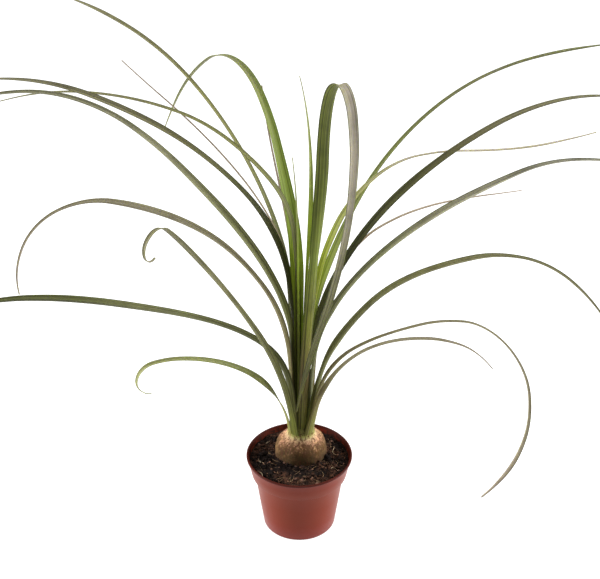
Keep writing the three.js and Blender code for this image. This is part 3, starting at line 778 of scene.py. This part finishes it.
def make_pot():
    collar_foot = POT_HEIGHT - COLLAR_HEIGHT
    lip_foot = POT_HEIGHT - RIM_LIP
    outline = [
        (BASE_RADIUS - BASE_EDGE, 0),
        (BASE_RADIUS - CHAMFER, CHAMFER),
        (pot_outside(BASE_EDGE), BASE_EDGE),
        *[(pot_outside(height), height) for height in SIDE_RINGS],
        (BODY_TOP_RADIUS, collar_foot),
        (COLLAR_FOOT_RADIUS, collar_foot),
        (pot_outside(lip_foot - COLLAR_RING_DROP), lip_foot - COLLAR_RING_DROP),
        (pot_outside(lip_foot), lip_foot),
        (RIM_RADIUS, lip_foot + CHAMFER),
        (RIM_RADIUS, POT_HEIGHT - CHAMFER),
        (RIM_RADIUS - CHAMFER, POT_HEIGHT),
        (COLLAR_TOP_RADIUS - WALL, POT_HEIGHT),
        (COLLAR_FOOT_RADIUS - WALL, collar_foot + WALL),
        (BODY_TOP_RADIUS - WALL, collar_foot + WALL),
        (pot_outside(FLOOR) - WALL, FLOOR),
    ]
    pot = turned("pot_shell", outline, POT_SIDES)
    drills = []
    for i in range(DRAIN_HOLES):
        turn = 2 * math.pi * i / DRAIN_HOLES
        bpy.ops.mesh.primitive_cylinder_add(
            vertices=DRAIN_HOLE_SIDES, radius=DRAIN_HOLE_RADIUS * MM, depth=3 * FLOOR * MM,
            location=(DRAIN_RING_RADIUS * MM * math.cos(turn), DRAIN_RING_RADIUS * MM * math.sin(turn),
                      FLOOR * MM / 2))
        drills.append(bpy.context.object)
    drill = join(drills, "drain_drill")
    cut = pot.modifiers.new("drain_holes", "BOOLEAN")
    cut.operation = "DIFFERENCE"
    cut.solver = "EXACT"
    cut.object = drill
    apply_all(pot)
    bpy.data.objects.remove(drill)
    rounding = pot.modifiers.new("rounding", "BEVEL")
    rounding.width = EDGE_ROUNDING * MM
    rounding.segments = ROUNDING_STEPS
    rounding.limit_method = "ANGLE"
    rounding.angle_limit = math.radians(ROUNDED_FROM)
    apply_all(pot)
    shade(pot, POT_CREASE)
    finish(pot, "pot", [plastic_finish()], "pot")


# Caudex

def caudex_radius(z):
    if z < CAUDEX_MIDDLE:
        depth = (CAUDEX_MIDDLE - z) / (CAUDEX_MIDDLE - CAUDEX_BOTTOM)
        return CAUDEX_RADIUS * math.sqrt(1 - depth ** ROOT_END_POWER)
    rise = (z - CAUDEX_MIDDLE) / (NECK_HEIGHT - CAUDEX_MIDDLE)
    bulb = CAUDEX_RADIUS * math.sqrt(1 - SHOULDER_DRAW_IN * rise ** 2)
    return mix(bulb, NECK_RADIUS, smooth(rise, NECK_START, 1))


def make_caudex():
    low = CAUDEX_BOTTOM + CAUDEX_END
    top = SOIL_LEVEL - BURIED_DEPTH
    heights = [mix(low, top, i / BURIED_RINGS) for i in range(BURIED_RINGS + 1)]
    heights += [mix(top, NECK_HEIGHT, i / BULB_RINGS) for i in range(1, BULB_RINGS + 1)]
    outline = [(caudex_radius(height), height) for height in heights]
    outline += [(mix(NECK_RADIUS, STEM_TIP_RADIUS, i / STEM_RINGS),
                 mix(NECK_HEIGHT, STEM_TIP_HEIGHT, i / STEM_RINGS)) for i in range(1, STEM_RINGS + 1)]
    caudex = turned("caudex_bulb", outline, CAUDEX_SIDES, (AXIS_X, AXIS_Y))
    bulb = caudex.vertex_groups.new(name="bulb")
    for vertex in caudex.data.vertices:
        x, y, z = vertex.co / MM
        fade = 1 - smooth(z, NECK_HEIGHT - BULGE_FADE, NECK_HEIGHT)
        bulb.add([vertex.index], fade, "REPLACE")
        angle = math.atan2(y - AXIS_Y, x - AXIS_X)
        bulge = (TWO_SIDED_BULGE * math.sin(2 * angle)
                 + THREE_SIDED_BULGE * math.sin(3 * angle + z * BULGE_TWIST))
        push = fade * bulge * MM
        vertex.co.x += push * math.cos(angle)
        vertex.co.y += push * math.sin(angle)
    displace(caudex, "swellings", "bulb", **SWELLINGS)
    displace(caudex, "bark", "bulb", **BARK_RELIEF)
    apply_all(caudex)
    shade(caudex)
    finish(caudex, "caudex", [bark_finish()], "caudex")


# Soil

def soil_height(x, y):
    wave = math.sin((x + y) * SOIL_WAVE_PACE) * math.cos((x - y / 2) * SOIL_WAVE_PACE)
    return SOIL_LEVEL + SOIL_WAVE_HEIGHT * wave


def make_soil():
    """The mix that fills the pot: sides and foot plain, the top crumbly, in rings that close in on the
    caudex."""
    inset = WALL + SEAT_GAP
    step = POT_HEIGHT - COLLAR_HEIGHT + inset
    floor = FLOOR + SEAT_GAP
    outline = [
        (pot_outside(floor) - inset, floor),
        (BODY_TOP_RADIUS - inset, step),
        (COLLAR_FOOT_RADIUS - inset, step),
        (pot_outside(SOIL_LEVEL) - inset, SOIL_LEVEL),
    ]
    soil = turned("soil_bed", outline, SOIL_SIDES)
    select_no_faces()
    for face in soil.data.polygons:
        face.select = face.center.z > (SOIL_LEVEL - SURFACE_SLACK) * MM and face.normal.z > 0.9
    bpy.ops.object.mode_set(mode="EDIT")
    scale = 1.0
    for i in range(SOIL_RINGS):
        next_scale = mix(1.0, SOIL_MIDDLE_SHARE, (i + 1) / SOIL_RINGS)
        bpy.ops.mesh.extrude_region_move(TRANSFORM_OT_translate={"value": (0, 0, 0)})
        share = next_scale / scale
        bpy.ops.transform.resize(value=(share, share, 1), center_override=(AXIS_X * MM, AXIS_Y * MM, 0))
        scale = next_scale
    bpy.ops.object.mode_set(mode="OBJECT")
    top = soil.vertex_groups.new(name="top")
    for vertex in soil.data.vertices:
        x, y, z = vertex.co / MM
        if z > SOIL_LEVEL - SURFACE_SLACK:
            near = math.hypot(x - AXIS_X, y - AXIS_Y)
            mound = 1 - smooth(near, CAUDEX_RADIUS - MOUND_INSIDE, CAUDEX_RADIUS + MOUND_OUTSIDE)
            vertex.co.z = mix(soil_height(x, y), SOIL_TOP - MOUND_DROP, mound) * MM
            from_wall = smooth(RIM_RADIUS - WALL_MARGIN - math.hypot(x, y), *WALL_CALM_ZONE)
            top.add([vertex.index], mix(WALL_CALM, 1, from_wall), "REPLACE")
    displace(soil, "clods", "top", **CLODS)
    displace(soil, "crumbs", "top", **CRUMBLE)
    apply_all(soil)
    shade(soil)
    finish(soil, "soil", [peat_finish("soil_peat", tint(17, 12, 10), tint(78, 50, 36))], "soil")
    return soil


def scatter_place(rng, wall_gap):
    """A random place on the open soil, between the wall and the caudex."""
    inner_radius = pot_outside(SOIL_LEVEL) - WALL
    while True:
        x = rng.uniform(-RIM_RADIUS, RIM_RADIUS)
        y = rng.uniform(-RIM_RADIUS, RIM_RADIUS)
        if math.hypot(x, y) > inner_radius - wall_gap:
            continue
        if math.hypot(x - AXIS_X, y - AXIS_Y) < CAUDEX_RADIUS - BULB_LAP:
            continue
        return x, y


def surface_height(soil, x, y):
    """Height of the modelled soil at a place, in millimetres."""
    above = Vector((x * MM, y * MM, PROBE_HEIGHT * MM))
    hit, place, _, _ = soil.ray_cast(above, Vector((0, 0, -1)))
    return place.z / MM if hit else SOIL_LEVEL


def lump(name, seed):
    """An angular crumb of unit size."""
    bpy.ops.mesh.primitive_ico_sphere_add(subdivisions=2, radius=0.5)
    piece = new_piece(name)
    rng = random.Random(seed)
    for vertex in piece.data.vertices:
        vertex.co *= rng.uniform(*LUMP_SPREAD)
    return piece


def scatter(soil, name, source, count, sizes, flatness, wall_gap, lift, seed):
    """Copies of a source piece laid over the soil at random turns and sizes, joined into one piece."""
    rng = random.Random(seed)
    copies = []
    for _ in range(count):
        size = rng.uniform(*sizes) * rng.uniform(*BIT_SIZE_SPREAD)
        x, y = scatter_place(rng, size * wall_gap)
        z = surface_height(soil, x, y) + size * lift
        turn = Matrix.Rotation(rng.uniform(0, 2 * math.pi), 4, "Z")
        tilt = (Matrix.Rotation(rng.gauss(0, BIT_TILT), 4, "X")
                @ Matrix.Rotation(rng.gauss(0, BIT_TILT), 4, "Y"))
        stretch = Matrix.Diagonal((rng.uniform(*BIT_LENGTH_SPREAD), rng.uniform(*BIT_WIDTH_SPREAD),
                                   rng.uniform(*flatness), 1))
        copy = source.copy()
        copy.data = source.data.copy()
        bpy.context.collection.objects.link(copy)
        copy.data.transform(Matrix.Translation((x * MM, y * MM, z * MM)) @ tilt @ turn
                            @ Matrix.Scale(size * MM, 4) @ stretch)
        copies.append(copy)
    bpy.data.objects.remove(source)
    return join(copies, name)


def rod(name, sides, lengths):
    """A rod of unit width and length, cut across into equal lengths."""
    bpy.ops.mesh.primitive_cylinder_add(vertices=sides, radius=0.5, depth=1.0)
    piece = new_piece(name)
    select_no_faces()
    for edge in piece.data.edges:
        one_end, other_end = (piece.data.vertices[i].co.z for i in edge.vertices)
        edge.select = abs(one_end - other_end) > 0.5
    bpy.ops.object.mode_set(mode="EDIT")
    bpy.ops.mesh.subdivide(number_cuts=lengths - 1)
    bpy.ops.object.mode_set(mode="OBJECT")
    return piece


def drawn_out(share, thinnest, blunt):
    """Thickness of a root at a share of its length: 1 in the middle, less towards its two blunt ends."""
    return thinnest + (1 - thinnest) * math.sin(math.pi * min(max(share, blunt), 1 - blunt))


def strand(name, seed):
    """A thin bent root of unit length, swept along a wavering path and drawn out at both ends."""
    rng = random.Random(seed)
    piece = rod(name, ROOT_SIDES, ROOT_LENGTHS)
    bend = rng.uniform(0.5, 1.3)
    wave = rng.uniform(3, 6)
    phase = rng.uniform(0, 6)
    for vertex in piece.data.vertices:
        x, y, z = vertex.co
        share = z + 0.5
        thin = ROOT_THICKNESS * drawn_out(share, thinnest=0.35, blunt=0.08)
        angle = bend * (share - 0.5) * 2
        sway = ROOT_SIDE_WAVE * math.sin(wave * share + phase)
        rise = ROOT_RISE_WAVE * math.sin(wave * share * RISE_WAVE_PACE + phase)
        vertex.co = Vector((math.sin(angle) / (2 * bend) * ROOT_REACH + x * thin,
                            (1 - math.cos(angle)) / (2 * bend) * ROOT_BOW + sway + y * thin,
                            rise + y * thin))
    outward(piece)
    return piece


def long_root(soil, name, path):
    """One long pale root that lies over the soil: a rod laid along a path."""
    def point(share):
        return [eased([station[k] for station in path], share) for k in range(3)]

    piece = rod(name, LONG_ROOT_SIDES, LONG_ROOT_LENGTHS)
    for vertex in piece.data.vertices:
        side_x, side_y, share = vertex.co.x, vertex.co.y, vertex.co.z + 0.5
        x, y, lift = point(share)
        ahead = point(min(share + LONG_ROOT_REACH, 1.0))
        back = point(max(share - LONG_ROOT_REACH, 0.0))
        way = Vector((ahead[0] - back[0], ahead[1] - back[1])).normalized()
        thin = LONG_ROOT_THICKNESS * drawn_out(share, thinnest=0.3, blunt=0.1)
        height = surface_height(soil, x, y) + lift
        vertex.co = Vector((x - way.y * side_x * thin, y + way.x * side_x * thin,
                            height + side_y * thin)) * MM
    outward(piece)
    shade(piece)
    return piece


def make_soil_bits(soil):
    crumbs = scatter(soil, "soil_crumbs", lump("crumb", seed=3), **CRUMBS)
    shade(crumbs, BIT_CREASE)
    finish(crumbs, "soil", [peat_finish("crumb_peat", tint(14, 10, 9), tint(80, 52, 37))])
    chips = scatter(soil, "soil_chips", lump("chip", seed=5), **CHIPS)
    shade(chips, BIT_CREASE)
    finish(chips, "soil", [fibre_finish("chip_bark", tint(108, 70, 48), tint(46, 26, 18))])
    roots = scatter(soil, "soil_roots", strand("root", seed=7), **ROOTS)
    shade(roots)
    finish(roots, "soil", [fibre_finish("root_fibre", tint(150, 120, 84), tint(84, 60, 40))])
    pale = [long_root(soil, f"pale_root_{i + 1}", path) for i, path in enumerate(LONG_ROOTS)]
    long_roots = join(pale, "soil_long_roots")
    finish(long_roots, "soil", [fibre_finish("pale_fibre", tint(212, 190, 158), tint(150, 122, 90))])


# Leaves

def stem_height(radius):
    return mix(STEM_TIP_HEIGHT, NECK_HEIGHT, radius / NECK_RADIUS)


def clasp_angle(width, radius):
    """Half the angle of its ring that a leaf's base clasps."""
    return min(width / 2 / radius, math.radians(WIDEST_CLASP))


def leaf_rows(leaf, rng):
    """Rows of a leaf's middle surface: for each, the midrib point, its across and upper directions, the
    blade's width, how open it is, and the radius of its ring of leaf bases."""
    heading, lean, step = leaf["heading"], leaf["lean"], leaf["step"]
    radius = OUTER_RING_RADIUS - leaf["ring"] * RING_STEP
    base_angle = math.radians(heading[0])
    inside = radius * math.cos(clasp_angle(leaf["width"][0], radius) / 4) - LEAF_THICKNESS / 2
    point = Vector((AXIS_X + radius * math.cos(base_angle), AXIS_Y + radius * math.sin(base_angle),
                    stem_height(inside) + SEAT_GAP))
    count = (len(lean) - 1) * LEAF_ROWS
    sway = rng.uniform(0, 2 * math.pi)
    up = Vector((0, 0, 1))
    rows = []
    for i in range(count + 1):
        share = i / count
        turn = math.radians(spread(heading, share))
        tilt = math.radians(spread(lean, share))
        out = Vector((math.cos(turn), math.sin(turn), 0))
        tangent = out * math.sin(tilt) + up * math.cos(tilt)
        upper = up * math.sin(tilt) - out * math.cos(tilt)
        open_share = smooth(i / LEAF_ROWS * step - leaf["ring"] * CLASP_END_STEP, *CLASP_END)
        waver = WAVER * math.sin(sway + share * WAVER_PACE)
        upper = Matrix.Rotation(open_share * math.radians(eased(leaf["roll"], share) + waver), 3,
                                tangent) @ upper
        blade = max(NARROWEST_BLADE, eased(leaf["width"], share))
        rows.append((point.copy(), tangent.cross(upper), upper, blade, open_share, radius))
        middle = min(i + 0.5, count) / count
        mid_turn, mid_tilt = (math.radians(spread(values, middle)) for values in (heading, lean))
        direction = Vector((math.sin(mid_tilt) * math.cos(mid_turn),
                            math.sin(mid_tilt) * math.sin(mid_turn), math.cos(mid_tilt)))
        point += direction * (step / LEAF_ROWS)
    return rows


def blade_point(row, side):
    """Point of the middle surface at a side from -1 to 1: on the clasped circle at the base, in a shallow
    channel further up."""
    point, across, upper, blade, open_share, radius = row
    angle = side * clasp_angle(blade, radius)
    half = mix(radius * math.sin(angle), side * blade / 2, open_share)
    channel = abs(side) ** CHANNEL_POWER * blade * LEAF_CHANNEL
    depth = mix(radius * (1 - math.cos(angle)), channel, open_share)
    return (point + across * half + upper * depth) * MM


def make_leaf(number, leaf, finishes):
    """A grid shaped row by row into the blade's middle surface and given its thickness both ways."""
    rows = leaf_rows(leaf, random.Random(number))
    bpy.ops.mesh.primitive_grid_add(x_subdivisions=LEAF_COLUMNS, y_subdivisions=len(rows) - 1, size=1,
                                    calc_uvs=True)
    piece = new_piece(f"blade_{number:02d}")
    body = piece.vertex_groups.new(name="body")
    for vertex in piece.data.vertices:
        side = 2 * vertex.co.x
        row = rows[round((vertex.co.y + 0.5) * (len(rows) - 1))]
        body.add([vertex.index], 1 - MARGIN_THINNING * abs(side) ** MARGIN_POWER, "REPLACE")
        vertex.co = blade_point(row, side)
    wall = piece.modifiers.new("thickness", "SOLIDIFY")
    wall.thickness = LEAF_THICKNESS * MM
    wall.offset = 0
    wall.use_even_offset = False
    wall.vertex_group = "body"
    wall.material_offset = 1
    wall.material_offset_rim = 0
    for material in finishes:
        piece.data.materials.append(material)
    apply_all(piece)
    shade(piece, LEAF_CREASE)
    indices = [face.material_index for face in piece.data.polygons]
    finish(piece, "leaf", finishes, f"leaf_{number:02d}")
    for face, index in zip(piece.data.polygons, indices):
        face.material_index = index


def make_leaves():
    finishes = {kind: leaf_finishes(kind, **look) for kind, look in LEAF_KINDS.items()}
    for i, leaf in enumerate(LEAVES):
        make_leaf(i + 1, leaf, finishes[leaf["finish"]])


# Studio

def floor_finish():
    """White paper, lit through from below."""
    look = Finish("floor_paper", Roughness=0.95, Specular_IOR_Level=0.0, Emission_Color=(1, 1, 1, 1),
                  Emission_Strength=FLOOR_GLOW)
    grain = look.noise(look.place(), scale=40, detail=3)
    look.colour(look.ramp(grain, [(0.3, tint(150, 150, 150)), (0.7, tint(154, 154, 154))]))
    return look.material


def make_floor():
    bpy.ops.mesh.primitive_circle_add(vertices=FLOOR_SIDES, radius=FLOOR_RADIUS, fill_type="NGON",
                                      location=(0, 0, 0))
    floor = new_piece("studio_floor")
    floor.data.materials.append(floor_finish())


def soft_light(name, place, size, power):
    """A square soft light that faces the plant."""
    bpy.ops.object.light_add(type="AREA", location=place)
    light = bpy.context.object
    light.name = name
    light.data.shape = "SQUARE"
    light.data.size = size
    light.data.energy = power
    aim = Vector(LIGHT_AIM) - Vector(place)
    light.rotation_euler = aim.to_track_quat("-Z", "Y").to_euler()


def make_studio():
    scene = bpy.context.scene
    scene.view_settings.view_transform = "Standard"
    scene.world = bpy.data.worlds.new("studio_air")
    scene.world.use_nodes = True
    air = scene.world.node_tree.nodes["Background"]
    air.inputs["Color"].default_value = (1, 1, 1, 1)
    air.inputs["Strength"].default_value = AIR_STRENGTH
    for light in LIGHTS:
        soft_light(**light)
    bpy.ops.object.camera_add(location=CAMERA_PLACE, rotation=(math.radians(90 - CAMERA_DROP), 0, 0))
    camera = bpy.context.object
    camera.data.lens = CAMERA_LENS
    camera.data.sensor_width = SENSOR_WIDTH
    scene.camera = camera


make_studio()
make_floor()
make_pot()
soil_bed = make_soil()
make_soil_bits(soil_bed)
make_caudex()
make_leaves()
